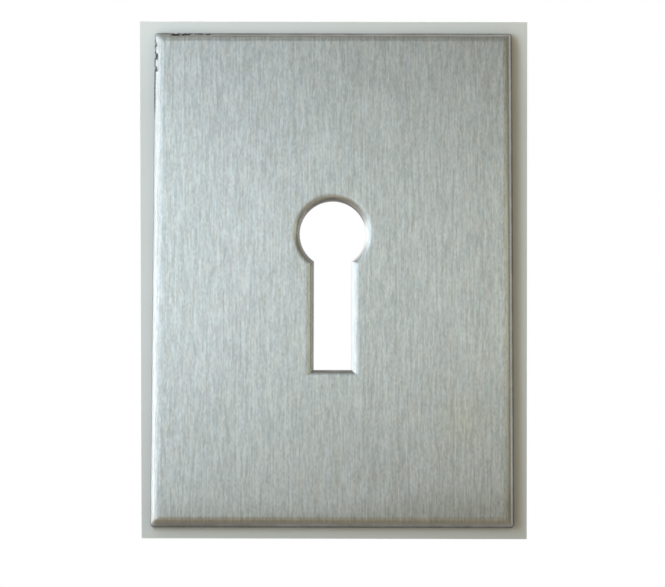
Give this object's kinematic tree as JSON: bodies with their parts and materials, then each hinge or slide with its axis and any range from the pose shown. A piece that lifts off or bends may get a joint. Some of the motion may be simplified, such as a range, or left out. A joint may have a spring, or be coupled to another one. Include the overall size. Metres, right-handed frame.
{
  "type": "keyhole escutcheon",
  "caption": "Rectangular keyhole escutcheon: a shallow pressed cover plate of brushed stainless sheet, with a turned-down rim and a rolled-edge keyhole, glued over a door or drawer lock.",
  "frame": {"origin": "middle of the rim's outline, on the plane of the rim's back edge, which seats on the door", "axes": "+Z out of the door through the face, +Y up the door with the keyhole's round eye at its upper end, +X to the right as seen from the front"},
  "size_m": [0.05, 0.069, 0.002],
  "materials": {
    "brushed_stainless": "fine straight brushing along +Y, with dark residue in the nicks at one corner"
  },
  "bodies": {
    "root": {"escutcheon_plate": "brushed_stainless"}
  },
  "joints": []
}
